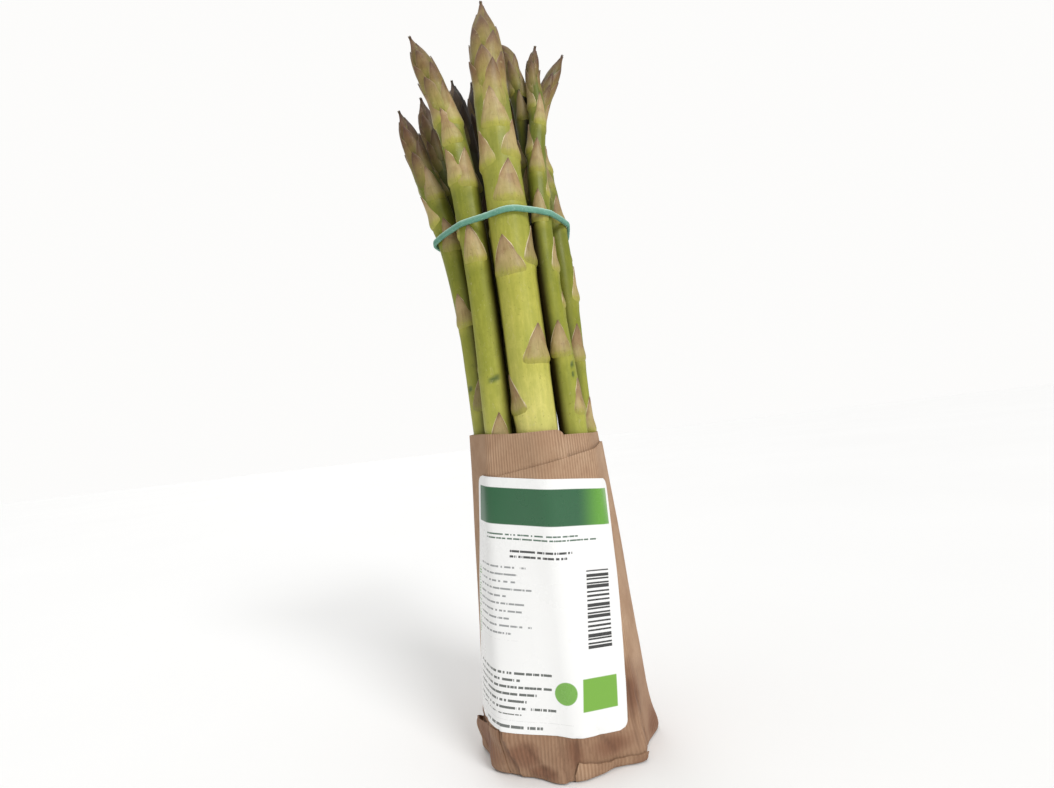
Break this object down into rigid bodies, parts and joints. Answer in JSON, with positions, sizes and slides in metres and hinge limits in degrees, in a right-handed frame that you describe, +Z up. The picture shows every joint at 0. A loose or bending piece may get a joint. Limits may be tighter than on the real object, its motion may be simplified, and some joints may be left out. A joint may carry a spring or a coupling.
{
  "type": "bundle of asparagus",
  "caption": "Standing bunch of fresh green asparagus spears held by a rubber band, with the cut ends wrapped in a ribbed kraft paper sleeve that carries a plain label.",
  "frame": {"origin": "centre of the flat underside of the sleeve, where the bunch stands", "axes": "+Z up along the spears to their tips, -Y is the front with the label and the largest spear, +X is to the right seen from the front"},
  "size_m": [0.0698, 0.058, 0.268],
  "materials": {
    "spear": "satin plant skin, yellow green stems, tan and purple bracts and buds",
    "band": "matt teal green rubber",
    "kraft_paper": "matt brown kraft paper with fine ribs",
    "label_paper": "glossy white printed paper with a green band"
  },
  "bodies": {
    "root": {"spear_front": "spear", "spear_front_left": "spear", "spear_left": "spear", "spear_back_left": "spear", "spear_back_left_hidden": "spear", "spear_back": "spear", "spear_back_right": "spear", "spear_right": "spear", "spear_front_right": "spear", "spear_inner_left": "spear", "spear_inner_right": "spear", "spear_middle": "spear", "rubber_band": "band", "paper_sleeve": "kraft_paper", "paper_label": "label_paper"}
  },
  "joints": []
}
